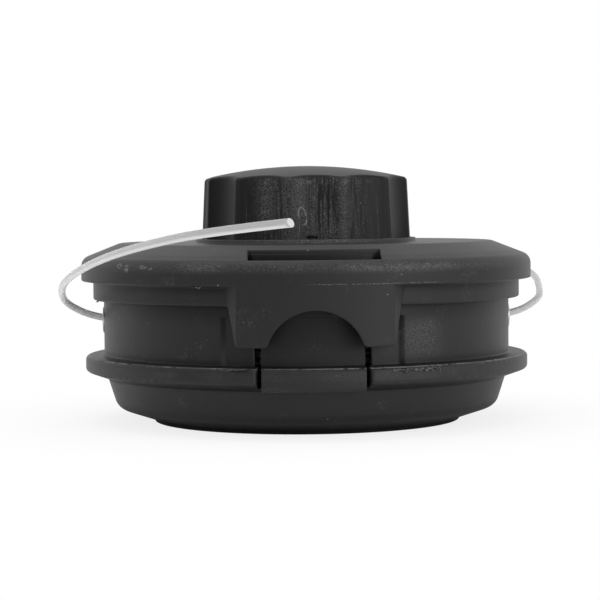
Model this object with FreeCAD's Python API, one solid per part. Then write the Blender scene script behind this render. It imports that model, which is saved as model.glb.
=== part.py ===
import FreeCAD, Part
import math
import os
from FreeCAD import Vector

# Sizes are in millimetres and degrees, heights are above the foot ring.

# Housing: foot, bowl, flange and wall
foot_radius = 44.1
foot_width = 3.5
foot_height = 1.4
foot_step = 1.7
foot_lip = 1.0
foot_round = 0.4
boss_radius = 15.0
floor_recess = 1.6
floor_thickness = 3.2
floor_rise = 2.6
floor_rise_width = 6.6
floor_round = 2.0
bowl_wall = 2.0
bowl_corner_inset = 3.65
bowl_corner_height = 4.45
bowl_corner_round = 4.0
bowl_slope_rise = 1.75
cove_height = 12.85
cove_inset = 0.95
cove_round = 1.0
inner_cove_inset = 1.7
inner_cove_drop = 0.8
flange_top = 19.5
flange_width = 5.35
flange_thickness = 4.4
flange_round = 1.2
flange_fall = 0.2
flange_root_round = 0.4
wall_thickness = 2.6
wall_height = 27.15
edge_round = 0.5
rib_count = 8
rib_width = 2.0

# Hub post and its threaded insert
post_radius = 10.5
post_rise = 19.0
post_round = 0.8
insert_across_flats = 15.0
insert_length = 16.0
insert_collar_radius = 9.4
insert_collar_height = 1.4
thread_minor_radius = 4.46
thread_lead_in = 0.8
shaft_relief_radius = 5.4
shaft_relief_depth = 5.0
post_core_wall = 3.2
moulded_gap = 0.05

# Latch tongues of the housing, front and back
tongue_width = 27.6
slot_width = 1.65
flange_slot_width = 0.9
slot_below_flange = 5.6
slot_mouth_round = 1.3
slot_inside = 6.0
pad_drop = 2.2
pad_round = 1.6
pocket_width = 49.1
pocket_ramp = 1.6
pocket_height = 13.0
pocket_depth = 1.0
head_width = 32.4
head_gap = 1.0
head_height = 4.0
barb_reach = 3.3
barb_lip = 1.2
barb_run = 2.9
barb_rise = 2.4
grip_rise = 2.1
grip_wall = 1.5

# Cover
cover_clearance = 0.35
seat_gap = 0.3
cover_wall = 2.5
skirt_wall = 2.65
skirt_drop = 5.4
rim_step = 3.4
rim_height = 6.3
rim_round = 3.2
knee_round = 3.0
skirt_root_round = 0.6
chamfer_angle = 21.5
chamfer_width = 11.15
collar_width = 1.0
collar_height = 1.0
collar_round = 0.3
collar_edge_round = 0.4
window_side_gap = 1.3
window_length = 6.3
window_front_gap = 1.5
window_sill = 0.5
tab_width = 41.4
tab_flare = 3.1
tab_taper = 2.8
tab_wall = 2.5
tab_gap = 5.4
tab_reach = 6.0
tab_round = 1.0
finger_radius = 13.2
finger_rise = 9.7
finger_foot_round = 1.4
cover_turn = 0.45

# Spool and the line wound on it
bump_travel = 6.0
dog_count = 12
dog_height = 3.2
dog_width = 5.0
dog_tip_width = 1.75
dog_inner_radius = 36.0
dog_outer_radius = 42.0
dog_gap = 0.3
spool_radius = 51.5
spool_gap = 4.5
barrel_radius = 24.0
barrel_wall = 2.6
spool_flange = 1.8
web_height = 27.0
web_thickness = 3.0
spool_boss_wall = 3.2
spool_boss_height = 15.0
running_clearance = 0.1
spigot_height = 10.0
spigot_inset = 0.5
spigot_round = 0.6
key_count = 4
key_width = 4.0
key_reach = 2.6
key_tip_gap = 1.0
line_notch_width = 2.4
line_notch_depth = 5.0
line_hole_radius = 1.4
winding_depth = 18.5
winding_gap = 0.15
turns_per_layer = 6
turn_bulge = 0.4

# Bump knob
knob_radius = 30.6
knob_clearance = 0.4
knob_height = 21.8
knob_draft = 2.8
dome_radius = 125.0
dome_round = 1.3
flute_count = 12
flute_radius = 16.0
flute_depth = 2.2
flute_start_angle = 4.2
flute_round = 1.0
knob_flange_reach = 3.2
knob_top_wall = 3.4
notch_width = 3.0
notch_angle = 1.8
notch_height = 0.8
notch_depth = 1.2
key_clearance = 0.15

# Spring and washers
washer_thickness = 1.2
washer_clearance = 0.3
washer_play = 2.0
spring_inset = 3.4
spring_wire = 2.0
spring_gap = 0.1
active_turns = 3.0
closed_turns = 0.75
points_per_turn = 10

# Line eyelets and the two free line ends
eyelet_height = 29.3
eyelet_bore_radius = 1.6
eyelet_wall = 1.0
eyelet_rim_radius = 3.8
eyelet_proud = 0.4
eyelet_rim_depth = 0.9
eyelet_tail = 1.0
eyelet_tail_round = 0.5
eyelet_rim_round = 0.35
eyelet_mouth_round = 0.7
eyelet_clearance = 0.05
line_diameter = 2.0
line_inner_end = 53.0
arc_share = 0.45

# How far cuts run past the faces that they open, and how closely an edge is found by its place
past = 1.0
found_within = 0.05

# Places that follow from the sizes above
wall_inner = spool_radius + spool_gap
wall_radius = wall_inner + wall_thickness
bowl_corner_radius = wall_radius - bowl_corner_inset
wall_top = flange_top + wall_height
flange_radius = wall_radius + flange_width
floor_top = floor_recess + floor_thickness
post_top = web_height + post_rise
slope = math.tan(math.radians(chamfer_angle))
skirt_inner = wall_radius + cover_clearance
skirt_radius = skirt_inner + skirt_wall
cover_radius = skirt_radius + rim_step
chamfer_radius = cover_radius - chamfer_width
knee_shift = cover_wall * math.tan(math.radians(chamfer_angle) / 2)
cover_under = wall_top + seat_gap + (wall_radius - chamfer_radius + knee_shift) * slope
cover_top = cover_under + cover_wall
rim_top = cover_top - chamfer_width * slope
rim_bottom = rim_top - rim_height
ledge_top = rim_bottom + cover_wall
skirt_bottom = rim_bottom - skirt_drop
tab_bottom = flange_top + tab_gap
hole_radius = knob_radius + knob_clearance
spool_low = floor_top + bump_travel + dog_gap + dog_height
spool_top = cover_under - dog_gap - dog_height
spool_middle = (spool_low + spool_top) / 2
spigot_radius = barrel_radius - spigot_inset
key_height = cover_top - spool_top
knob_flange_top = cover_under - dog_gap
knob_flange_radius = hole_radius + knob_flange_reach
barb_under = ledge_top + seat_gap
barb_radius = skirt_inner + barb_reach - cover_clearance
window_outer = barb_radius + window_front_gap
washer_under = web_height - running_clearance - washer_thickness
seat_top = floor_top + washer_thickness
washer_radius = barrel_radius - barrel_wall - washer_play
spring_radius = washer_radius - spring_inset

# Control points of the left and the right free line end
left_route = [
    (-line_inner_end, 0, eyelet_height),
    (-wall_radius - 4.9, 0, eyelet_height + 0.9),
    (-wall_radius - 10.8, -7.0, eyelet_height + 4.9),
    (-wall_radius - 10.7, -22.0, eyelet_height + 9.3),
    (-wall_radius - 6.8, -48.0, eyelet_height + 13.7),
    (-54.6, -90.0, eyelet_height + 19.5),
    (-41.2, -128.0, eyelet_height + 23.9),
    (-26.0, -157.5, eyelet_height + 27.3),
    (-7.9, -175.8, eyelet_height + 29.3),
]
right_route = [
    (line_inner_end, 0, eyelet_height),
    (wall_radius + 4.9, 0, eyelet_height + 0.9),
    (wall_radius + 10.8, 7.0, eyelet_height + 4.1),
    (wall_radius + 13.2, 24.0, eyelet_height + 6.7),
    (wall_radius + 15.8, 52.0, eyelet_height + 10.1),
    (71.5, 78.0, eyelet_height + 12.6),
    (60.0, 101.0, eyelet_height + 14.6),
    (41.5, 117.5, eyelet_height + 16.0),
    (19.0, 126.0, eyelet_height + 17.0),
    (-4.0, 126.5, eyelet_height + 17.6),
    (-22.0, 120.0, eyelet_height + 18.0),
]

z_axis = Vector(0, 0, 1)
origin = Vector(0, 0, 0)


# Closed outline from corners, each given as x, z and if wanted a rounding
def outline(corners):
    count = len(corners)
    edges = []
    ends = []
    for i in range(count):
        here = Vector(corners[i][0], 0, corners[i][1])
        before = Vector(corners[i - 1][0], 0, corners[i - 1][1])
        after = Vector(corners[(i + 1) % count][0], 0, corners[(i + 1) % count][1])
        radius = corners[i][2] if len(corners[i]) > 2 else 0
        if not radius:
            ends.append((here, here))
            continue
        back = (before - here).normalize()
        ahead = (after - here).normalize()
        half = back.getAngle(ahead) / 2
        reach = radius / math.tan(half)
        middle = here + (back + ahead).normalize() * (radius / math.sin(half) - radius)
        start = here + back * reach
        end = here + ahead * reach
        edges.append(Part.Arc(start, middle, end).toShape())
        ends.append((start, end))
    for i in range(count):
        start = ends[i][1]
        end = ends[(i + 1) % count][0]
        if start.distanceToPoint(end) > 1e-6:
            edges.append(Part.makeLine(start, end))
    return Part.Wire(Part.__sortEdges__(edges))


# Solid of revolution about the upright axis
def turned(corners):
    return Part.Face(outline(corners)).revolve(origin, z_axis, 360)


# Outline in the x-z plane drawn out along y between two places
def drawn(corners, y_start, y_end):
    face = Part.Face(outline(corners))
    face.translate(Vector(0, y_start, 0))
    return face.extrude(Vector(0, y_end - y_start, 0))


# Ring between two radii and two heights
def ring(inner, outer, low, high):
    tube = Part.makeCylinder(outer, high - low, Vector(0, 0, low))
    return tube.cut(Part.makeCylinder(inner, high - low, Vector(0, 0, low)))


# Box centred on x, between two y places and two heights
def block(width, y_start, y_end, low, high):
    return Part.makeBox(width, y_end - y_start, high - low, Vector(-width / 2, y_start, low))


# Copy turned about the upright axis
def turn(shape, angle):
    copy = shape.copy()
    copy.rotate(origin, z_axis, angle)
    return copy


# Copies evenly spaced about the upright axis
def around(shape, count, start=0):
    return [turn(shape, start + 360.0 / count * i) for i in range(count)]


# One solid joined from several, without inner seams
def joined(first, others):
    return first.fuse(others).removeSplitter()


# The edges of a solid that a test picks out
def picked(shape, test):
    return [edge for edge in shape.Edges if test(edge)]


# Saw-shaped ratchet dog, its steep face at y = 0 and pointing up from z = 0
def dog(face_side, up):
    corners = [
        Vector(dog_inner_radius, 0, 0),
        Vector(dog_inner_radius, face_side * dog_width, 0),
        Vector(dog_inner_radius, face_side * dog_tip_width, up * dog_height),
        Vector(dog_inner_radius, 0, up * dog_height),
    ]
    face = Part.Face(Part.makePolygon(corners + corners[:1]))
    return face.extrude(Vector(dog_outer_radius - dog_inner_radius, 0, 0))


# A ring of dogs standing on a height
def dog_ring(face_side, up, height, shift, start):
    tooth = dog(face_side, up)
    tooth.translate(Vector(0, shift, height))
    return around(tooth, dog_count, start)


# Hexagonal bar about the upright axis
def hexagon(across_flats, low, high):
    corner = across_flats / math.sqrt(3)
    points = [Vector(corner, 0, low)]
    for i in range(1, 7):
        points.append(turn(Part.Vertex(points[0]), 60 * i).Point)
    return Part.Face(Part.makePolygon(points)).extrude(Vector(0, 0, high - low))


# Bowl, flange, wall and hub post as one turned moulding
def housing_shell():
    flange_under = flange_top - flange_thickness
    cove_radius = wall_radius - cove_inset
    return turned([
        (0, 0),
        (boss_radius, 0),
        (boss_radius, floor_recess),
        (foot_radius - foot_width, floor_recess),
        (foot_radius - foot_width, 0),
        (foot_radius, 0, foot_round),
        (foot_radius + foot_step - foot_lip, foot_height),
        (foot_radius + foot_step, foot_height),
        (bowl_corner_radius, bowl_corner_height, bowl_corner_round),
        (cove_radius, cove_height, cove_round),
        (flange_radius, flange_under, flange_round),
        (flange_radius, flange_top - flange_fall, flange_round),
        (wall_radius, flange_top, flange_root_round),
        (wall_radius, wall_top),
        (wall_inner, wall_top, edge_round),
        (wall_inner, cove_height + bowl_slope_rise, cove_round),
        (wall_inner - inner_cove_inset, cove_height - inner_cove_drop, cove_round),
        (bowl_corner_radius - bowl_wall, floor_top + floor_rise, floor_round),
        (bowl_corner_radius - bowl_wall - floor_rise_width, floor_top, floor_round),
        (post_radius, floor_top),
        (post_radius, post_top, post_round),
        (0, post_top),
    ])


# Slot beside a latch tongue, narrower through the flange and with a rounded mouth there
def latch_slot(side):
    low = flange_top - slot_below_flange
    inner = side * tongue_width / 2
    outer = side * (tongue_width / 2 + flange_slot_width)
    far = side * (tongue_width / 2 + flange_slot_width + slot_mouth_round)
    back = -wall_inner + slot_inside
    front = -flange_radius - past
    corner = -math.sqrt(flange_radius ** 2 - far ** 2)
    start = Vector(outer, corner + slot_mouth_round, low)
    end = Vector(far, corner, low)
    diagonal = slot_mouth_round * math.sqrt(0.5)
    bend = Vector(far - side * diagonal, corner + slot_mouth_round - diagonal, low)
    edges = [
        Part.makeLine(Vector(inner, front, low), Vector(inner, back, low)),
        Part.makeLine(Vector(inner, back, low), Vector(outer, back, low)),
        Part.makeLine(Vector(outer, back, low), start),
        Part.Arc(start, bend, end).toShape(),
        Part.makeLine(end, Vector(far, front, low)),
        Part.makeLine(Vector(far, front, low), Vector(inner, front, low)),
    ]
    plan = Part.Face(Part.Wire(Part.__sortEdges__(edges)))
    through_flange = plan.extrude(Vector(0, 0, slot_below_flange + past))
    beside_tongue = block(slot_width, front, back, flange_top, wall_top + past)
    beside_tongue.translate(Vector(side * (tongue_width + slot_width) / 2, 0, 0))
    return through_flange.fuse(beside_tongue)


# Hooked head at the top of a latch tongue, with an upright grip behind the hook
def latch_head():
    low = barb_under - head_height
    slope_top = barb_under + barb_lip + barb_rise
    grip_front = barb_radius - barb_run
    return turned([
        (wall_inner, low),
        (wall_radius, low),
        (wall_radius, barb_under),
        (barb_radius, barb_under),
        (barb_radius, barb_under + barb_lip),
        (grip_front, slope_top),
        (grip_front, slope_top + grip_rise),
        (grip_front - grip_wall, slope_top + grip_rise),
        (grip_front - grip_wall, barb_under + barb_lip),
        (wall_inner, barb_under + barb_lip),
    ]).common(block(head_width, -barb_radius - past, 0, low, slope_top + grip_rise))


# Shallow pocket in the wall behind a latch tab, with sloped ends
def latch_pocket():
    floor_radius = wall_radius - pocket_depth
    outer = pocket_width / 2
    inner = outer - pocket_ramp
    outer_end = -math.sqrt(wall_radius ** 2 - outer ** 2)
    inner_end = -math.sqrt(floor_radius ** 2 - inner ** 2)
    half = [(outer, -flange_radius), (outer, outer_end), (inner, inner_end), (inner, 0)]
    corners = [Vector(x, y, flange_top) for x, y in half] + [Vector(-x, y, flange_top) for x, y in half[::-1]]
    plan = Part.Face(Part.makePolygon(corners + corners[:1])).extrude(Vector(0, 0, pocket_height))
    return plan.common(ring(floor_radius, flange_radius, flange_top, flange_top + pocket_height))


# Everything that makes one latch in the housing, at the front
def cut_latch(body):
    head_low = barb_under - head_height
    notch = block(head_width + 2 * head_gap, -wall_radius - past, -wall_inner + slot_inside,
                  head_low - head_gap, wall_top + past)
    tongue = ring(wall_inner, wall_radius, head_low - head_gap - past, head_low + past)
    tongue = tongue.common(block(tongue_width, -wall_radius, 0, 0, wall_top))
    low = flange_top - flange_thickness - pad_drop
    high = flange_top - flange_thickness / 2
    pad = turned([
        (wall_inner + past, low),
        (flange_radius, low, pad_round),
        (flange_radius, high),
        (wall_inner + past, high),
    ])
    pad = pad.common(block(tongue_width, -flange_radius, 0, low, high))
    body = body.cut([latch_pocket(), notch])
    body = body.fuse(pad).cut([latch_slot(1), latch_slot(-1)])
    return body.fuse([tongue, latch_head()])


# Housing moulding with both latches, ratchet dogs and the holes it needs
def housing():
    body = housing_shell()
    rib = Part.makeBox(foot_radius - foot_width - boss_radius + 2 * past, rib_width, floor_recess + past,
                       Vector(boss_radius - past, -rib_width / 2, 0))
    body = body.fuse(around(rib, rib_count, 180.0 / rib_count))
    body = body.fuse(dog_ring(-1, 1, floor_top, -dog_gap, 180.0 / dog_count))
    body = turn(cut_latch(body), 180)
    body = cut_latch(body)
    socket = hexagon(insert_across_flats + 2 * moulded_gap, 0, insert_length + moulded_gap)
    collar = Part.makeCylinder(insert_collar_radius + moulded_gap, insert_collar_height + moulded_gap)
    relief = Part.makeCylinder(shaft_relief_radius, insert_length + shaft_relief_depth)
    core_low = insert_length + shaft_relief_depth + post_core_wall
    core = Part.makeCylinder(post_radius - post_core_wall, post_top - core_low, Vector(0, 0, core_low))
    holes = [eyelet_hole(1), eyelet_hole(-1)]
    return body.cut([socket, collar, relief, core] + holes).removeSplitter()


# Through hole in the wall for an eyelet, with a seat for its rim
def eyelet_hole(side):
    radius = eyelet_bore_radius + eyelet_wall + eyelet_clearance
    hole = Part.makeCylinder(radius, wall_thickness + 2 * past, Vector(wall_inner - past, 0, eyelet_height),
                             Vector(1, 0, 0))
    seat_start = wall_radius + eyelet_proud - eyelet_rim_depth - eyelet_clearance
    seat = Part.makeCylinder(eyelet_rim_radius + eyelet_clearance, eyelet_rim_depth + past,
                             Vector(seat_start, 0, eyelet_height), Vector(1, 0, 0))
    return turn(hole.fuse(seat), 0 if side > 0 else 180)


# Steel insert that takes the drive shaft's left-hand thread
def threaded_insert():
    body = hexagon(insert_across_flats, 0, insert_length)
    body = joined(body, [Part.makeCylinder(insert_collar_radius, insert_collar_height)])
    bore = Part.makeCylinder(thread_minor_radius, insert_length)
    mouth = Part.makeCone(thread_minor_radius + thread_lead_in, thread_minor_radius, thread_lead_in)
    return body.cut([bore, mouth])


# Turned metal eyelet that the line runs out through
def eyelet(side):
    inner_end = wall_inner - eyelet_tail
    outer_end = wall_radius + eyelet_proud
    outer = eyelet_bore_radius + eyelet_wall
    sleeve = turned([
        (eyelet_bore_radius, inner_end, eyelet_tail_round),
        (outer, inner_end),
        (outer, outer_end - eyelet_rim_depth),
        (eyelet_rim_radius, outer_end - eyelet_rim_depth),
        (eyelet_rim_radius, outer_end, eyelet_rim_round),
        (eyelet_bore_radius, outer_end, eyelet_mouth_round),
    ])
    sleeve.rotate(origin, Vector(0, 1, 0), 90)
    sleeve.translate(Vector(0, 0, eyelet_height))
    return turn(sleeve, 0 if side > 0 else 180)


# Top plate, bevelled edge, rim, ledge and skirt as one turned moulding
def cover_shell():
    inner_rim = cover_radius - cover_wall
    under_slope = cover_under - (inner_rim - chamfer_radius + knee_shift) * slope
    collar_radius = hole_radius + collar_width
    return turned([
        (hole_radius, cover_under),
        (hole_radius, cover_top + collar_height, collar_round),
        (collar_radius, cover_top + collar_height, collar_edge_round),
        (collar_radius, cover_top, collar_round),
        (chamfer_radius, cover_top, knee_round),
        (cover_radius, rim_top, rim_round),
        (cover_radius, rim_bottom, edge_round),
        (skirt_radius, rim_bottom, skirt_root_round),
        (skirt_radius, skirt_bottom, edge_round),
        (skirt_inner, skirt_bottom, edge_round),
        (skirt_inner, ledge_top),
        (inner_rim, ledge_top),
        (inner_rim, under_slope),
        (chamfer_radius - knee_shift, cover_under),
    ])


# Outline of the latch tab seen from the front, with its half-round finger recess
def tab_front(half_width):
    high = rim_bottom + skirt_root_round
    top = tab_bottom + finger_rise
    centre = top - finger_radius
    half = math.sqrt(finger_radius ** 2 - (tab_bottom - centre) ** 2)
    corners = [
        (-half_width, high),
        (-half_width + tab_taper, tab_bottom, tab_round),
        (half_width - tab_taper, tab_bottom, tab_round),
        (half_width, high),
    ]
    front = -cover_radius - past
    recess = Part.makeCylinder(finger_radius, cover_radius, Vector(0, front, centre), Vector(0, 1, 0))
    body = drawn(corners, front, -skirt_inner + tab_reach + past).cut(recess)
    feet = picked(body, lambda e: abs(abs(e.CenterOfMass.x) - half) < found_within
                  and abs(e.CenterOfMass.z - tab_bottom) < found_within)
    return body.makeFillet(finger_foot_round, feet)


# Latch tab of the cover, hollow behind its front wall
def cover_tab():
    half = tab_width / 2
    body = tab_front(half + tab_flare)
    shell = ring(skirt_inner, cover_radius, tab_bottom - past, rim_bottom + skirt_root_round + past)
    body = body.common(shell)
    wide = half + tab_flare
    front_edge = -math.sqrt(cover_radius ** 2 - half ** 2)
    root_edge = -math.sqrt(skirt_radius ** 2 - wide ** 2)
    side = [(half, -cover_radius), (half, front_edge), (wide, root_edge), (wide, -skirt_inner + tab_reach)]
    corners = [Vector(x, y, 0) for x, y in side] + [Vector(-x, y, 0) for x, y in side[::-1]]
    plan = Part.Face(Part.makePolygon(corners + corners[:1]))
    body = body.common(plan.extrude(Vector(0, 0, rim_top)))
    hollow = ring(skirt_inner - past, cover_radius - tab_wall, tab_bottom - past, rim_bottom)
    hollow = hollow.common(block(tab_width - 2 * tab_wall, -cover_radius, 0, 0, rim_bottom))
    return body.cut(hollow), hollow


# Cover with collar, ratchet dogs, two latch tabs and two latch windows
def cover():
    body = cover_shell()
    tab, hollow = cover_tab()
    window = ring(window_outer - window_length, window_outer, ledge_top + window_sill, cover_top + past)
    window = window.common(block(head_width + 2 * window_side_gap, -window_outer, 0, 0, cover_top + past))
    for angle in (0, 180):
        body = body.cut(turn(hollow, angle)).fuse(turn(tab, angle)).cut(turn(window, angle))
    body = joined(body, dog_ring(-1, -1, cover_under, -dog_gap, -cover_turn))
    return turn(body, cover_turn)


# Spool with three flanges, hub, ratchet dogs, keys and line holes
def spool():
    bore = post_radius + running_clearance
    boss = bore + spool_boss_wall
    inside = barrel_radius - barrel_wall
    half = spool_flange / 2
    web_top = web_height + web_thickness
    spigot_top = spool_top + spigot_height
    body = turned([
        (bore, web_height),
        (inside, web_height),
        (inside, spool_low),
        (spool_radius, spool_low, edge_round),
        (spool_radius, spool_low + spool_flange, edge_round),
        (barrel_radius, spool_low + spool_flange),
        (barrel_radius, spool_middle - half),
        (spool_radius, spool_middle - half, edge_round),
        (spool_radius, spool_middle + half, edge_round),
        (barrel_radius, spool_middle + half),
        (barrel_radius, spool_top - spool_flange),
        (spool_radius, spool_top - spool_flange, edge_round),
        (spool_radius, spool_top, edge_round),
        (spigot_radius, spool_top),
        (spigot_radius, spigot_top, spigot_round),
        (spigot_radius - barrel_wall, spigot_top),
        (spigot_radius - barrel_wall, web_top),
        (boss, web_top),
        (boss, web_top + spool_boss_height),
        (bore, web_top + spool_boss_height),
    ])
    key = Part.makeBox(key_reach + past, key_width, key_height,
                       Vector(spigot_radius - past, -key_width / 2, spool_top))
    body = body.fuse(around(key, key_count))
    body = body.fuse(dog_ring(1, 1, spool_top, 0, 0))
    body = body.fuse(dog_ring(1, -1, spool_low, 0, 0))
    notch_low = spool_middle - spool_flange
    notch = Part.makeBox(line_notch_depth + past, line_notch_width, spool_top + past - notch_low,
                         Vector(spool_radius - line_notch_depth, -line_notch_width / 2, notch_low))
    chamber = (spool_middle + spool_top - spool_flange) / 2
    upper_hole = Part.makeCylinder(line_hole_radius, barrel_wall * 3,
                                   Vector(0, inside - barrel_wall, chamber), Vector(0, 1, 0))
    lower_hole = turn(upper_hole, 180)
    lower_hole.translate(Vector(0, 0, spool_middle * 2 - chamber * 2))
    return body.cut(around(notch, 2, 45) + [upper_hole, lower_hole]).removeSplitter()


# Wound line in one chamber, its outside showing the turns of the last layer
def winding(low, high):
    inner = barrel_radius + winding_gap
    outer = barrel_radius + winding_depth
    pitch = (high - low - 2 * winding_gap) / turns_per_layer
    edges = []
    for i in range(turns_per_layer):
        start = low + winding_gap + pitch * i
        edges.append(Part.Arc(
            Vector(outer, 0, start),
            Vector(outer + pitch * turn_bulge, 0, start + pitch / 2),
            Vector(outer, 0, start + pitch)).toShape())
    bottom = Vector(inner, 0, low + winding_gap)
    top = Vector(inner, 0, high - winding_gap)
    edges.append(Part.makeLine(bottom, Vector(outer, 0, low + winding_gap)))
    edges.append(Part.makeLine(Vector(outer, 0, high - winding_gap), top))
    edges.append(Part.makeLine(top, bottom))
    return Part.Face(Part.Wire(Part.__sortEdges__(edges))).revolve(origin, z_axis, 360)


# Fluted knob with a domed top, held under the cover by its flange
def bump_knob():
    top = cover_top + knob_height
    lean = math.tan(math.radians(knob_draft))
    tip_radius = knob_radius - (top - knob_flange_top) * lean
    body = turned([
        (0, knob_flange_top),
        (knob_radius, knob_flange_top),
        (tip_radius, top + past),
        (0, top + past),
    ])
    body = body.common(Part.makeSphere(dome_radius, Vector(0, 0, top - dome_radius)))
    shoulder = picked(body, lambda e: e.BoundBox.ZMin > cover_top and e.BoundBox.XLength > knob_radius)
    body = body.makeFillet(dome_round, shoulder)
    reach = knob_radius + flute_radius - flute_depth
    flute = Part.makeCylinder(flute_radius, top, Vector(0, -reach, knob_flange_top))
    flute.rotate(Vector(0, -reach, knob_flange_top), Vector(1, 0, 0), -knob_draft)
    body = body.cut(around(flute, flute_count, flute_start_angle))
    scooped = [f for f in body.Faces if isinstance(f.Surface, Part.Cylinder)]
    borders = [e for f in scooped for e in f.Edges if e.BoundBox.ZMax > cover_top]
    body = body.makeFillet(flute_round, borders)
    flange = Part.makeCylinder(knob_flange_radius, knob_flange_top - spool_top, Vector(0, 0, spool_top))
    body = joined(body, [flange])
    bore = spigot_radius + key_clearance
    ceiling = top - knob_top_wall - bore ** 2 / 2 / dome_radius
    cavity = Part.makeCylinder(bore, ceiling - spool_top, Vector(0, 0, spool_top))
    slot_reach = key_reach + key_tip_gap + past
    slot = Part.makeBox(slot_reach, key_width + 2 * key_clearance, key_height + key_clearance,
                        Vector(spigot_radius - past, -key_width / 2 - key_clearance, spool_top))
    notch_low = cover_top + collar_height
    notch_back = -knob_radius + flute_depth + notch_depth
    notch = block(notch_width, -knob_radius, notch_back, notch_low, notch_low + notch_height)
    return body.cut([cavity] + around(slot, key_count) + [turn(notch, notch_angle)])


# Flat steel washer round the hub post
def washer(low):
    return ring(post_radius + washer_clearance, washer_radius, low, low + washer_thickness)


# Straight runs through the points, joined by tangent arcs, and the radii of these arcs
def rounded_path(points):
    edges = []
    radii = []
    start = points[0]
    for before, here, after in zip(points, points[1:], points[2:]):
        back = (before - here).normalize()
        ahead = (after - here).normalize()
        half = back.getAngle(ahead) / 2
        shorter = min(before.distanceToPoint(here), here.distanceToPoint(after))
        reach = arc_share * shorter
        radius = reach * math.tan(half)
        middle = here + (back + ahead).normalize() * (radius / math.sin(half) - radius)
        edges.append(Part.makeLine(start, here + back * reach))
        edges.append(Part.Arc(here + back * reach, middle, here + ahead * reach).toShape())
        radii.append(round(radius, 1))
        start = here + ahead * reach
    edges.append(Part.makeLine(start, points[-1]))
    return Part.Wire(edges), radii


# Round wire or line along such a path
def round_wire(points, diameter):
    path, radii = rounded_path(points)
    section = Part.makeCircle(diameter / 2, points[0], points[1] - points[0])
    wire = path.makePipeShell([Part.Wire([section])], True, False)
    share = wire.Volume / (math.pi * diameter ** 2 / 4 * path.Length)
    return wire, path.Length, radii, share


# Compression spring between the two washers, with most of a turn closed at each end
def spring():
    low = seat_top + spring_gap + spring_wire / 2
    high = washer_under - spring_gap - spring_wire / 2
    closed_pitch = spring_wire + spring_gap
    active_pitch = (high - low - 2 * closed_turns * closed_pitch) / active_turns
    points = []
    for i in range(round((active_turns + 2 * closed_turns) * points_per_turn) + 1):
        turns = i / points_per_turn
        active = min(max(turns - closed_turns, 0), active_turns)
        height = low + active * active_pitch + (turns - active) * closed_pitch
        angle = 2 * math.pi * turns
        points.append(Vector(spring_radius * math.cos(angle), spring_radius * math.sin(angle), height))
    return round_wire(points, spring_wire)[0]


# Free line end along its route
def line_end(route):
    line, length, radii, share = round_wire([Vector(*p) for p in route], line_diameter)
    print("line length", round(length, 1), "bend radii", radii, "volume share", round(share, 3))
    return line


# Each piece goes to a file of its own
def export(name, shape):
    solid = shape.Solids[0]
    if len(shape.Solids) != 1 or not solid.isValid():
        print("check", name, len(shape.Solids), solid.isValid())
    solid.exportStep("parts/" + name + ".step")
    box = solid.BoundBox
    reach = (box.XMin, box.XMax, box.YMin, box.YMax, box.ZMin, box.ZMax)
    print(name, round(solid.Volume), [round(v, 2) for v in reach])


os.makedirs("parts", exist_ok=True)
export("housing", housing())
export("threaded_insert", threaded_insert())
export("eyelet_left", eyelet(-1))
export("eyelet_right", eyelet(1))
export("spring_seat_washer", washer(floor_top))
export("spring", spring())
export("thrust_washer", washer(washer_under))
export("spool", spool())
export("winding_lower", winding(spool_low + spool_flange, spool_middle - spool_flange / 2))
export("winding_upper", winding(spool_middle + spool_flange / 2, spool_top - spool_flange))
export("bump_knob", bump_knob())
export("cover", cover())
export("line_left", line_end(left_route))
export("line_right", line_end(right_route))
print("cover diameter", round(2 * cover_radius, 2), "cover top", round(cover_top, 2))
print("rim bottom", round(rim_bottom, 2), "skirt bottom", round(skirt_bottom, 2))
print("knob top", round(cover_top + knob_height, 2))
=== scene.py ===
import math

import bmesh
import bpy
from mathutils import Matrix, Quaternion, Vector, noise as turbulence


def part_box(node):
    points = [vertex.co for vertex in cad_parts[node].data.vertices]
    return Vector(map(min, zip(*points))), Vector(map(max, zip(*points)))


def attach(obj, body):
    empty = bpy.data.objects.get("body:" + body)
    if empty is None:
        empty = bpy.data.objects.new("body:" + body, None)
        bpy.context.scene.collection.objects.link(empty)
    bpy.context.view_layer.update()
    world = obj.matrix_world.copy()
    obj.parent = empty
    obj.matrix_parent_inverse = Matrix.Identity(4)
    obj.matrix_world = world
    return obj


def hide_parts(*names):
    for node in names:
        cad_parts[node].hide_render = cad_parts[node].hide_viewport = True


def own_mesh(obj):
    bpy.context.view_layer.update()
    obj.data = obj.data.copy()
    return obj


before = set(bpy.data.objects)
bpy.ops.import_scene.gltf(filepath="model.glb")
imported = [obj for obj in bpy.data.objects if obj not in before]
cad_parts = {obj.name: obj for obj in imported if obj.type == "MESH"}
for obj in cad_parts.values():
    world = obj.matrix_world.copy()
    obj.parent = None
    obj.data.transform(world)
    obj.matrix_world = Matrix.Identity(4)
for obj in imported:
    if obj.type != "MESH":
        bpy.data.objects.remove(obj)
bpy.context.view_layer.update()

# Housing: the bowl with flange, wall, foot ring and two latch tongues that carries every other piece.
# One injection moulding of black nylon, finely grained by its mould, with dust lying on its flange.
# Its drive side screws onto the trimmer, and the head stands on its foot ring here.
flange_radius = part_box("housing")[1].x
flange_top = 0.0195
flange_middle = 0.0172
wall_radius = 0.0586
tongue_radius = 0.0530
tongue_shade_top = 0.0280
tab_half_sine = 0.24
grain_patch_angles = (0.42, 0.62)
grain_patch_heights = (0.0215, 0.0320)
skirt_shade_start = 0.0290
skirt_shade_full = 0.0350
moulded_sheen = 0.36
edge_round = 0.0008
grain_depth = 0.00006
film_grey = 0.13
dust_grey = 0.24
scuff_grey = 0.42
merge_distance = 1e-6
sharp_angle = math.radians(28)
flash_step = 0.0003
flash_reach = 0.0004
flash_thickness = 0.00012


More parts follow.
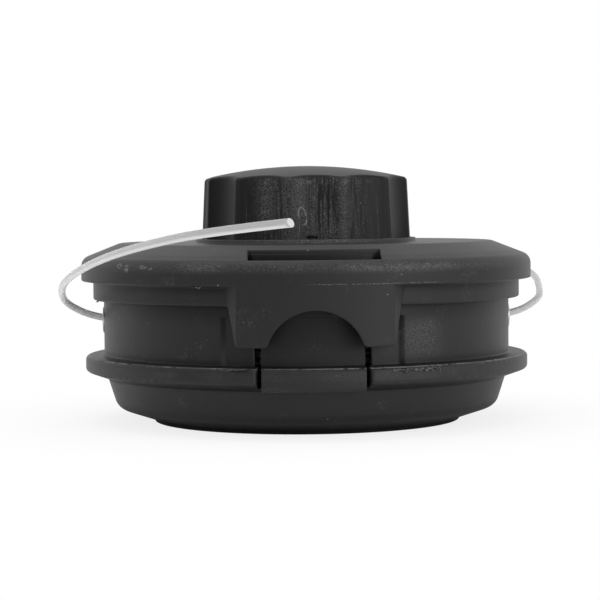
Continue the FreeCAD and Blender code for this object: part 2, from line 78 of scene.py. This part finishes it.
class Shade:
    """A shader socket that takes part in Python expressions."""

    def __init__(self, tree, socket=None):
        self.tree = tree
        self.socket = socket

    def add(self, kind, settings, sockets, output=0):
        node = self.tree.nodes.new("ShaderNode" + kind)
        for name, value in settings.items():
            setattr(node, name, value)
        for name, value in sockets.items():
            if isinstance(value, Shade):
                self.tree.links.new(value.socket, node.inputs[name])
            else:
                node.inputs[name].default_value = value
        return Shade(self.tree, node.outputs[output])

    def out(self, name):
        return Shade(self.tree, self.socket.node.outputs[name])

    def math(self, operation, *values):
        return self.add("Math", {"operation": operation}, dict(enumerate(values or (self,))))

    def __add__(self, other):
        return self.math("ADD", self, other)

    def __radd__(self, other):
        return self.math("ADD", other, self)

    def __sub__(self, other):
        return self.math("SUBTRACT", self, other)

    def __rsub__(self, other):
        return self.math("SUBTRACT", other, self)

    def __mul__(self, other):
        return self.math("MULTIPLY", self, other)

    def __rmul__(self, other):
        return self.math("MULTIPLY", other, self)

    def __pow__(self, other):
        return self.math("POWER", self, other)

    def step(self, low, high):
        settings = {"interpolation_type": "SMOOTHSTEP"}
        return self.add("MapRange", settings, {"Value": self, "From Min": low, "From Max": high})

    def near(self, centre, reach):
        return (self - centre).math("ABSOLUTE").step(reach, 0.0)

    def within(self, low, high, edge):
        return self.step(low - edge, low + edge) * self.step(high + edge, high - edge)

    def larger(self, other):
        return self.math("MAXIMUM", self, other)

    def feed(self, shader, socket):
        self.tree.links.new(self.socket, shader.inputs[socket])


def surface(name):
    """A new material, its shader and the Object coordinates that its patterns follow."""
    material = bpy.data.materials.new(name)
    material.use_nodes = True
    shader = material.node_tree.nodes["Principled BSDF"]
    return material, shader, Shade(material.node_tree).add("TexCoord", {}, {}, "Object")


def noise(place, scale, detail):
    return place.add("TexNoise", {}, {"Vector": place, "Scale": scale, "Detail": detail})


def mixed(factor, first, second):
    return factor.add("Mix", {"data_type": "RGBA"}, {0: factor, 6: first, 7: second}, 2)


def grey(level):
    return (level, level, level * 1.01, 1)


def specks(place, spacing, size, share):
    """Round specks, one in the given share of the cells of a loose grid."""
    cells = place.add("TexVoronoi", {}, {"Vector": place, "Scale": 1 / spacing}, "Distance")
    chance = cells.add("SeparateColor", {}, {"Color": cells.out("Color")}, "Red")
    return cells.step(size / spacing, 0.4 * size / spacing) * chance.step(1 - share, 1 - share + 0.01)


def split(place):
    across = place.add("SeparateXYZ", {}, {"Vector": place}, "X")
    return across, across.out("Y"), across.out("Z")


def polar(place):
    """Distance from the turning axis, angle from the front and height."""
    across, deep, height = split(place)
    radius = (across * across + deep * deep) ** 0.5
    return radius, across.math("ARCTAN2", across, 0 - deep), height


def black_nylon(name, tone, sheen, marks):
    """Black moulded nylon; marks gives where it is scuffed pale, dusty and darkened by painted shade."""
    material, shader, place = surface(name)
    cloud = noise(place, 60, 3)
    mottle = noise(place, 1100, 4)
    grain = noise(place, 3000, 2)
    scuffed, dusty, painted_shade = marks(place)
    dots = specks(place, spacing=0.0040, size=0.00022, share=0.35)
    dust = specks(place, spacing=0.0009, size=0.00024, share=0.5) * dusty
    film = noise(place, 2600, 3).step(0.28, 0.74) * dusty
    body = mixed(cloud * 0.6 + mottle * 0.4, grey(tone * 0.7), grey(tone * 1.4))
    # Painted shade: where the marks ask for it, the body's colour is darkened to a fifth of its tone.
    painted_shade_body = mixed(painted_shade, body, grey(tone * 0.2))
    filmed = mixed(film * 0.6, painted_shade_body, grey(film_grey))
    dotted = mixed((dots * 0.9).larger(dust * 0.45), filmed, grey(dust_grey))
    mixed(scuffed, dotted, grey(scuff_grey)).feed(shader, "Base Color")
    (0.38 + cloud * 0.10 + mottle * 0.08 + film * 0.12 + scuffed * 0.15).feed(shader, "Roughness")
    height = grain * 0.5 + mottle * 0.8 + dust * 1.2 + scuffed * 0.8
    rounded = place.add("Bevel", {"samples": 6}, {"Radius": edge_round})
    relief = {"Strength": 0.5, "Distance": grain_depth, "Height": height, "Normal": rounded}
    place.add("Bump", {}, relief, "Normal").feed(shader, "Normal")
    shader.inputs["Specular IOR Level"].default_value = sheen
    return material


def placed(name, shape, body, material):
    """A finished mesh as a piece of the object that rides on a body."""
    mesh = bpy.data.meshes.new(name)
    shape.to_mesh(mesh)
    shape.free()
    mesh.materials.append(material)
    piece = bpy.data.objects.new(name, mesh)
    bpy.context.scene.collection.objects.link(piece)
    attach(piece, body)
    return piece


def dressed(node, name, body, material):
    """A merged copy of a CAD node with smooth shading, which stands for the node."""
    shape = bmesh.new()
    shape.from_mesh(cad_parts[node].data)
    bmesh.ops.remove_doubles(shape, verts=shape.verts, dist=merge_distance)
    for face in shape.faces:
        face.smooth = True
    for edge in shape.edges:
        edge.smooth = edge.is_manifold and edge.calc_face_angle() < sharp_angle
    piece = placed(name, shape, body, material)
    shading = piece.modifiers.new("even_shading", "WEIGHTED_NORMAL")
    shading.keep_sharp = True
    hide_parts(node)
    return piece


def housing_marks(place):
    radius, around, height = polar(place)
    ragged = noise(place, 900, 4)
    patchy = noise(place, 90, 3).step(0.35, 0.60)
    flange_edge = radius.step(flange_radius - 0.0014, flange_radius - 0.0009)
    ledge = height.near(flange_top - 0.00022, 0.0003) * flange_edge
    line = ledge * ragged.step(0.34, 0.52) * (0.3 + patchy * 0.5)
    smear = noise(place, 130, 4).step(0.56, 0.78) * noise(place, 1500, 3).step(0.45, 0.7)
    right_of_tab = around.within(*grain_patch_angles, 0.08) * height.within(*grain_patch_heights, 0.002)
    grainy = right_of_tab * radius.near(wall_radius, 0.001)
    shelf = height.near(flange_middle, 0.0022) * radius.near(flange_radius, 0.001) * patchy
    # Painted shade darkens the tongues behind the tabs, the wall under the skirt and its foot at the
    # flange.
    behind_tab = around.math("SINE").within(-tab_half_sine, tab_half_sine, 0.01)
    shaded = behind_tab * height.step(flange_top, tongue_shade_top)
    tongue = shaded * radius.step(tongue_radius - 0.003, tongue_radius)
    outside = radius.near(wall_radius, 0.0014)
    painted_skirt_shadow = height.step(skirt_shade_start, skirt_shade_full) * outside
    painted_flange_shade = height.step(flange_top + 0.0020, flange_top) * outside
    painted_shade = tongue.larger(painted_skirt_shadow).larger(painted_flange_shade)
    scuffed = (line * 0.6).larger(smear * 0.06)
    dusty = (grainy * 0.6).larger(shelf * 0.25).larger(smear * 0.5) * (1 - painted_shade)
    return scuffed, dusty, painted_shade


def torn_nylon(name):
    material, shader, place = surface(name)
    patchy = noise(place, 1600, 4)
    mixed(patchy.step(0.4, 0.65), grey(0.012), grey(0.20)).feed(shader, "Base Color")
    (0.45 + patchy * 0.3).feed(shader, "Roughness")
    return material


def flash(name, strips, material):
    """Thin torn skins of nylon that the mould left, each as radius, height, start, end and drop."""
    shape = bmesh.new()
    for strip in strips:
        radius, height, start, end = strip[:4]
        first = shape.verts.new((radius * math.sin(start), -radius * math.cos(start), height))
        steps = max(6, round((end - start) * radius / flash_step))
        bmesh.ops.spin(shape, geom=[first], cent=(0, 0, 0), axis=(0, 0, 1), dvec=(0, 0, 0),
                       angle=end - start, steps=steps, use_merge=False)
    torn = bmesh.ops.extrude_edge_only(shape, edges=shape.edges[:])["geom"]
    for vert in torn:
        if isinstance(vert, bmesh.types.BMVert):
            ragged = 0.45 + 0.9 * turbulence.noise(vert.co * 700)
            outward = Vector((vert.co.x, vert.co.y, 0)).normalized()
            drop = min(strips, key=lambda strip: abs(strip[1] - vert.co.z))[4]
            vert.co += outward * (flash_reach + 0.0003 * turbulence.noise(vert.co * 1500))
            vert.co.z -= drop * max(ragged, 0.05)
    bmesh.ops.solidify(shape, geom=shape.faces[:], thickness=flash_thickness)
    bmesh.ops.recalc_face_normals(shape, faces=shape.faces)
    placed(name, shape, "head", material)


housing_black = black_nylon("housing_black_nylon", tone=0.011, sheen=moulded_sheen, marks=housing_marks)
dressed("housing", "housing_moulding", "head", housing_black)
torn_black = torn_nylon("torn_black_nylon")
flash("flange_flash", (
    (flange_radius - 0.0001, flange_top - 0.0006, math.radians(19), math.radians(32), 0.0014),
    (flange_radius - 0.0001, flange_top - 0.0004, math.radians(-21), math.radians(-16), 0.0007),
), torn_black)

# Threaded insert: a hexagon bar of steel with a collar, turned, threaded and zinc plated.
# It is moulded into the hub and takes the left-hand thread of the drive shaft.
bore_radius = 0.00446
thread_root = bore_radius + 0.00005
thread_crest = bore_radius - 0.00028
thread_start = 0.0010
thread_half_width = 0.0003
thread_pitch = 0.001
thread_turns = 14
steps_per_turn = 32
groove_depth = 0.00002


def turned_metal(name, tone, rough):
    material, shader, place = surface(name)
    rings = place.add("TexWave", {"wave_type": "RINGS", "rings_direction": "Z"},
                      {"Vector": place, "Scale": 900, "Distortion": 1.5, "Detail": 2})
    patina = noise(place, 300, 4)
    mixed(patina, grey(tone * 0.8), grey(tone * 1.1)).feed(shader, "Base Color")
    (rough + patina * 0.2 + rings * 0.06).feed(shader, "Roughness")
    grooves = {"Strength": 0.3, "Distance": groove_depth, "Height": rings}
    place.add("Bump", {}, grooves, "Normal").feed(shader, "Normal")
    shader.inputs["Metallic"].default_value = 1.0
    return material


insert_steel = turned_metal("zinc_plated_steel", tone=0.55, rough=0.25)
dressed("threaded_insert", "insert_turning", "head", insert_steel)
shape = bmesh.new()
ridge = [
    shape.verts.new((thread_root, 0, thread_start)),
    shape.verts.new((thread_crest, 0, thread_start + thread_half_width)),
    shape.verts.new((thread_root, 0, thread_start + 2 * thread_half_width)),
]
shape.faces.new(ridge)
bmesh.ops.spin(shape, geom=shape.verts[:] + shape.edges[:] + shape.faces[:], cent=(0, 0, 0), axis=(0, 0, 1),
               dvec=(0, 0, thread_pitch / steps_per_turn), angle=-2 * math.pi * thread_turns,
               steps=thread_turns * steps_per_turn, use_merge=False)
bmesh.ops.holes_fill(shape, edges=[edge for edge in shape.edges if edge.is_boundary])
bmesh.ops.recalc_face_normals(shape, faces=shape.faces)
placed("insert_thread", shape, "head", insert_steel)

# Line eyelets: two turned aluminium sleeves pressed into the wall, one at each side.
# The line runs out through them, which has polished their mouths.
eyelet_metal = turned_metal("polished_aluminium", tone=0.70, rough=0.18)
dressed("eyelet_left", "eyelet_left_turning", "head", eyelet_metal)
dressed("eyelet_right", "eyelet_right_turning", "head", eyelet_metal)

# Spring and its two washers: oiled spring steel, coiled cold, and flat steel rings punched from strip.
# They sit round the hub post inside the housing and push the spool up.
spring_steel = turned_metal("oiled_spring_steel", tone=0.40, rough=0.30)
coil = dressed("spring", "spring_coil", "head", spring_steel)
dressed("spring_seat_washer", "seat_washer", "head", spring_steel)
dressed("thrust_washer", "thrust_washer_disc", "thrust", spring_steel)
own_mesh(coil)

# Spool: three flanges, barrel, hub and ratchet dogs in one moulding of black nylon.
# It turns on the hub post inside the housing and is rubbed by the line and the dogs.


def spool_marks(place):
    rubbed = noise(place, 250, 4).step(0.58, 0.8) * 0.15
    return rubbed, rubbed, 0 * rubbed


spool_black = black_nylon("spool_black_nylon", tone=0.016, sheen=moulded_sheen, marks=spool_marks)
dressed("spool", "spool_moulding", "spool", spool_black)

# Windings: the stored line, wound tightly in the spool's two chambers.
# Clear nylon, drawn through a die, so it is smooth, slightly cloudy and finely streaked.
clear_grey = 0.60
cloudy_grey = 0.66
# Greys of the painted shade on the line's upper side and the painted light on its lower side.
painted_upper_shade_grey = 0.44
painted_lower_light_grey = 0.92


def clear_nylon(name):
    """Clear line with painted light along its lower side and painted shade along its upper side."""
    material, shader, place = surface(name)
    streak = noise(place, 900, 3)
    cloudy = noise(place, 120, 2)
    upward = place.add("Attribute", {"attribute_name": "upward"}, {}, "Fac")
    cloud = mixed(streak * 0.3 + cloudy * 0.7, grey(clear_grey), grey(cloudy_grey))
    # Painted light on the lower side and painted shade on the upper side, following the upward attribute.
    painted_lower_light = mixed(upward.step(-0.15, -0.75), cloud, grey(painted_lower_light_grey))
    mixed(upward.step(0.25, 0.85), painted_lower_light, grey(painted_upper_shade_grey)).feed(shader, "Base Color")
    (0.20 + streak * 0.06).feed(shader, "Roughness")
    shader.inputs["IOR"].default_value = 1.35
    shader.inputs["Transmission Weight"].default_value = 0.42
    return material


line_nylon = clear_nylon("drawn_nylon_line")
for node in ("winding_lower", "winding_upper"):
    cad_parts[node].data.materials.clear()
    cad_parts[node].data.materials.append(line_nylon)

# Bump knob: the fluted knob that is bumped on the ground to let out line, keyed on the spool's spigot.
# Black nylon moulding, dusty and worn at the front, with upright scratches from grass and stones.
# Each scratch has an angle from the front in degrees, a middle height, a half length and a strength.
knob_radius = 0.0300
knob_low = 0.0515
knob_middle = 0.0600
knob_shoulder = 0.0696
flute_turn = math.radians(4.2)
flute_count = 12
scratch_half_width = 0.00016
scratches = (
    (-36, 0.0560, 0.0100, 0.16), (-27.5, 0.0585, 0.0080, 0.20), (-5.0, 0.0565, 0.0060, 0.20),
    (3.5, 0.0580, 0.0085, 0.28), (12.0, 0.0570, 0.0090, 0.16), (24.0, 0.0590, 0.0100, 0.18),
    (34.0, 0.0575, 0.0090, 0.20), (43.0, 0.0580, 0.0100, 0.14),
)
leaf_height = 0.0590
leaf_angle = -0.058
leaf_lean = 6
leaf_half_width = 0.0011
leaf_half_length = 0.0024


def knob_marks(place):
    around, height = polar(place)[1:]
    wave = ((around - flute_turn) * flute_count).math("COSINE")
    side = height.step(knob_shoulder + 0.0006, knob_shoulder - 0.0006)
    front = around.within(-0.45, 0.55, 0.30) * side
    upright = place.add("CombineXYZ", {}, {"X": around * (knob_radius * 1000), "Z": height * 90})
    streaks = noise(upright, 1.1, 4).step(0.36, 0.62)
    broken = noise(place, 700, 3).step(0.40, 0.60)
    scuffed = broken * 0
    for angle, middle, half, strength in scratches:
        line = around.near(math.radians(angle), scratch_half_width / knob_radius)
        scuffed = scuffed.larger(line * height.near(middle, half) * broken * strength)
    above_leaf = height - leaf_height
    beside_leaf = around + above_leaf * leaf_lean - leaf_angle
    leaf = (beside_leaf * (knob_radius / leaf_half_width)) ** 2 + (above_leaf * (1 / leaf_half_length)) ** 2
    scuffed = scuffed.larger(leaf.near(1.0, 0.40) * broken * 0.4)
    shoulder = height.near(knob_shoulder - 0.0012, 0.0009) * front
    scuffed = scuffed.larger(shoulder * noise(place, 600, 3).step(0.45, 0.75) * 0.18) * side
    ridge = wave.step(-0.6, -0.95) * front
    rubbed = around.near(-0.08, 0.14).larger(around.near(-0.42, 0.20))
    patch = rubbed * height.step(knob_low, knob_middle) * side
    # Painted shade darkens the knob's flanks away from the front.
    painted_side_shade = around.math("ABSOLUTE").step(0.75, 1.0) * side
    return scuffed, (streaks * front).larger(ridge * 0.8).larger(patch), painted_side_shade


knob_black = black_nylon("knob_black_nylon", tone=0.005, sheen=0.23, marks=knob_marks)
dressed("bump_knob", "knob_moulding", "spool", knob_black)

# Cover: top plate, collar, bevelled edge, rim, skirt and two latch tabs in one black nylon moulding.
# It snaps over the housing's wall, and the tongues' hooks hold it through the windows in its bevel.
# Each scuff on its rim has an angle and a half width in degrees, a height, a half height and a strength.
cover_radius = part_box("cover")[1].x
rim_line = 0.0414
rim_band = 0.0459
collar_inside = 0.0308
collar_outside = 0.0330
collar_foot = 0.0512
skirt_inside = 0.0605
skirt_outside = 0.0625
rim_shade_start = 0.0380
rim_shade_full = 0.0404
rim_scuffs = (
    (-53.0, 1.4, 0.0460, 0.0010, 0.32), (-50.0, 1.0, 0.0453, 0.0016, 0.28),
    (-44.0, 1.8, 0.0458, 0.0007, 0.30), (-41.5, 0.9, 0.0452, 0.0009, 0.25),
)


def cover_marks(place):
    radius, around, height = polar(place)
    ragged = noise(place, 1500, 4)
    fine = noise(place, 1100, 4)
    outer = radius.step(cover_radius - 0.0030, cover_radius - 0.0010)
    lip = height + (fine - 0.5) * 0.0004
    line = lip.near(rim_line, 0.00018) * radius.step(cover_radius - 0.0006, cover_radius - 0.0002)
    scuffed = line * around.within(0.0, 0.56, 0.06) * ragged.step(0.36, 0.62) * 0.24
    for angle, half, level, tall, strength in rim_scuffs:
        spot = around.near(math.radians(angle), math.radians(half)) * height.near(level, tall) * outer
        scuffed = scuffed.larger(spot.step(0.1, 0.4) * ragged.step(0.44, 0.58) * strength)
    band = height.near(rim_band, 0.0022) * outer
    dusted = around.within(-0.60, -0.36, 0.08).larger(around.within(0.10, 0.66, 0.12)).larger(0.45)
    ring = radius.within(collar_inside, collar_outside, 0.0003)
    collar = ring * height.step(collar_foot, collar_foot + 0.0004) * around.near(0.05, 1.2)
    smear = noise(place, 110, 4).step(0.54, 0.80) * fine.step(0.45, 0.7)
    # Painted shadow darkens the top of the skirt under the rim's overhang.
    skirt = radius.within(skirt_inside, skirt_outside, 0.0003)
    painted_rim_shadow = height.step(rim_shade_start, rim_shade_full) * skirt
    return scuffed.larger(smear * 0.05), (band * dusted).larger(smear * 0.5).larger(collar), painted_rim_shadow


cover_black = black_nylon("cover_black_nylon", tone=0.011, sheen=moulded_sheen, marks=cover_marks)
dressed("cover", "cover_moulding", "head", cover_black)
flash("cover_flash", (
    (0.0647, 0.0409, math.radians(-29.6), math.radians(-27.0), 0.0009),
    (0.0612, 0.0355, math.radians(-76.6), math.radians(-74.2), 0.0006),
), torn_black)

# Free line ends: clear nylon line, drawn to 2 mm, that the head whirls round to cut grass.
# Each comes out of its eyelet, keeps the bend of the spool by its stiffness and ends in a slanted cut.
line_diameter = 0.002
cut_back = line_diameter * 0.35
cut_edge = line_diameter * 0.04
cut_face_upward = -0.8
left_route = (
    (-0.0530, 0.0, 0.0293),
    (-0.0608, 0.0, 0.0298),
    (-0.0691, -0.0066, 0.0342),
    (-0.0693, -0.0220, 0.0386),
    (-0.0654, -0.0480, 0.0430),
    (-0.0546, -0.0900, 0.0488),
    (-0.0412, -0.1280, 0.0532),
    (-0.0260, -0.1575, 0.0566),
    (-0.0079, -0.1758, 0.0586),
)
right_route = (
    (0.0530, 0.0, 0.0293),
    (0.0608, 0.0, 0.0298),
    (0.0690, 0.0068, 0.0337),
    (0.0718, 0.0240, 0.0360),
    (0.0744, 0.0520, 0.0394),
    (0.0715, 0.0780, 0.0419),
    (0.0600, 0.1010, 0.0439),
    (0.0415, 0.1175, 0.0453),
    (0.0190, 0.1260, 0.0463),
    (-0.0040, 0.1265, 0.0469),
    (-0.0220, 0.1200, 0.0473),
)


def line_end(name, node, route, slant):
    """A free end of line along its route, cut off aslant, with the upward attribute that places its painted
    light and shade.
    """
    curve = bpy.data.curves.new(name, "CURVE")
    curve.dimensions = "3D"
    curve.resolution_u = 24
    spline = curve.splines.new("NURBS")
    spline.points.add(len(route) - 1)
    for point, place in zip(spline.points, route):
        point.co = (*place, 1)
    spline.order_u = 3
    spline.use_endpoint_u = True
    guide = bpy.data.objects.new(name + "_route", curve)
    path = [vert.co.copy() for vert in bpy.data.meshes.new_from_object(guide).vertices]
    curve.bevel_depth = line_diameter / 2
    curve.bevel_resolution = 6
    curve.use_fill_caps = True
    shape = bmesh.new()
    shape.from_mesh(bpy.data.meshes.new_from_object(guide))
    bpy.data.objects.remove(guide)
    bmesh.ops.remove_doubles(shape, verts=shape.verts, dist=merge_distance)
    ahead = (path[-1] - path[-2]).normalized()
    bmesh.ops.bisect_plane(shape, geom=shape.verts[:] + shape.edges[:] + shape.faces[:], dist=1e-7,
                           plane_co=path[-1] - ahead * cut_back,
                           plane_no=ahead + Vector(slant), clear_outer=True)
    cut = bmesh.ops.holes_fill(shape, edges=[edge for edge in shape.edges if edge.is_boundary])["faces"]
    bmesh.ops.inset_individual(shape, faces=cut, thickness=cut_edge)
    bmesh.ops.recalc_face_normals(shape, faces=shape.faces)
    shape.normal_update()
    # The upward attribute places the painted light below the line and the painted shade above it.
    upward = shape.verts.layers.float.new("upward")
    for vert in shape.verts:
        vert[upward] = vert.normal.z
    # The cut face takes the painted light of the lower side.
    for vert in cut[0].verts:
        vert[upward] = cut_face_upward
    for face in shape.faces:
        face.smooth = len(face.verts) == 4
    piece = placed(name, shape, "head", line_nylon)
    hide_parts(node)


line_end("free_line_left", "line_left", left_route, slant=(0, 0, 0.35))
line_end("free_line_right", "line_right", right_route, slant=(0, 0, 0.3))

# Floor: a pale sheet of paper under and behind the head, white to the eye away from it.
# It is plain and diffuse, and keeps the soft shadow under the bowl.
floor_size = 6.0
shadow_radius = 0.05
white_radius = 0.25
white_share = 0.82
front_dimming = 0.5
shape = bmesh.new()
bmesh.ops.create_grid(shape, x_segments=1, y_segments=1, size=floor_size / 2)
floor_mesh = bpy.data.meshes.new("floor")
shape.to_mesh(floor_mesh)
shape.free()
floor = bpy.data.objects.new("floor", floor_mesh)
bpy.context.scene.collection.objects.link(floor)
floor_white, shader, place = surface("floor_white")
floor_tree = floor_white.node_tree
floor_tree.nodes.remove(shader)
paper = place.add("BsdfDiffuse", {}, {"Color": (0.9, 0.9, 0.9, 1)})
ray = place.add("LightPath", {}, {}, "Is Camera Ray")
radius, around = polar(place)[:2]
away = radius.step(shadow_radius, white_radius)
dim = around.math("COSINE").step(-0.75, 0.5) * (1 - ray)
glow = place.add("Emission", {}, {"Color": (1, 1, 1, 1), "Strength": 1 - dim * front_dimming})
mirrored = ray.out("Is Glossy Ray").larger(ray.out("Is Transmission Ray"))
seen = (ray * (white_share + away * (1 - white_share))).larger(mirrored * away)
shown = place.add("MixShader", {}, {0: seen, 1: paper, 2: glow})
shown.feed(floor_tree.nodes["Material Output"], "Surface")
floor_mesh.materials.append(floor_white)

# Studio light: a white room that is dimmer behind the camera, with a bright window at the right of it,
# a large soft box overhead and a smaller one at the right.
room_strength = 0.95
window_glow = 0.9
window_side = 0.7
lamp_aim = Vector((0, 0, 0.03))
scene = bpy.context.scene
world = bpy.data.worlds.new("white_room")
scene.world = world
world.use_nodes = True
world_tree = world.node_tree
world_tree.nodes.remove(world_tree.nodes["Background"])
ray = Shade(world_tree).add("LightPath", {}, {}, "Is Camera Ray")
seen = ray.larger(ray.out("Is Glossy Ray")).larger(ray.out("Is Transmission Ray"))
across, deep = split(ray.add("TexCoord", {}, {}, "Generated"))[:2]
dim = deep.step(0.75, -0.5) * (1 - ray)
window = (across * window_side - deep * window_side).step(0.6, 1.0) * (1 - ray)
brightness = 1 - dim * front_dimming + window * window_glow
room = ray.add("Background", {}, {"Color": (1, 1, 1, 1), "Strength": room_strength})
backdrop = ray.add("Background", {}, {"Color": (1, 1, 1, 1), "Strength": brightness})
shown = ray.add("MixShader", {}, {0: seen, 1: room, 2: backdrop})
shown.feed(world_tree.nodes["World Output"], "Surface")


def soft_box(name, place, size, power):
    lamp = bpy.data.lights.new(name, "AREA")
    lamp.shape = "SQUARE"
    lamp.size = size
    lamp.energy = power
    box = bpy.data.objects.new(name, lamp)
    box.location = place
    box.rotation_euler = (lamp_aim - Vector(place)).to_track_quat("-Z", "Y").to_euler()
    scene.collection.objects.link(box)


soft_box("overhead_box", (-0.2, -0.2, 1.2), size=1.0, power=3.5)
soft_box("right_box", (0.9, -0.9, 0.35), size=0.7, power=3.0)

# Camera: a long lens at the height of the knob, looking slightly down and slightly from the left.
# Its place, lens and tilt come from the outlines of the cover, flange and foot in the photograph.
camera_distance = 0.600
camera_height = 0.0625
camera_turn = math.radians(-1.75)
camera_pitch = math.radians(2.68)
camera_roll = math.radians(-0.52)
pixels_left = 6.1
focal_pixels = 2063
aim_left = math.atan2(pixels_left, focal_pixels)
lens = bpy.data.cameras.new("long_lens")
lens.sensor_width = 36.0
lens.lens = 123.8
lens.clip_start = 0.01
camera = bpy.data.objects.new("camera", lens)
heading = -camera_turn - aim_left
look = Vector((math.sin(heading) * math.cos(camera_pitch), math.cos(heading) * math.cos(camera_pitch),
               -math.sin(camera_pitch)))
camera.location = (
    camera_distance * math.sin(camera_turn),
    -camera_distance * math.cos(camera_turn),
    camera_height,
)
camera.rotation_mode = "QUATERNION"
camera.rotation_quaternion = look.to_track_quat("-Z", "Y") @ Quaternion((0, 0, 1), camera_roll)
scene.collection.objects.link(camera)
scene.camera = camera
scene.view_settings.view_transform = "Standard"
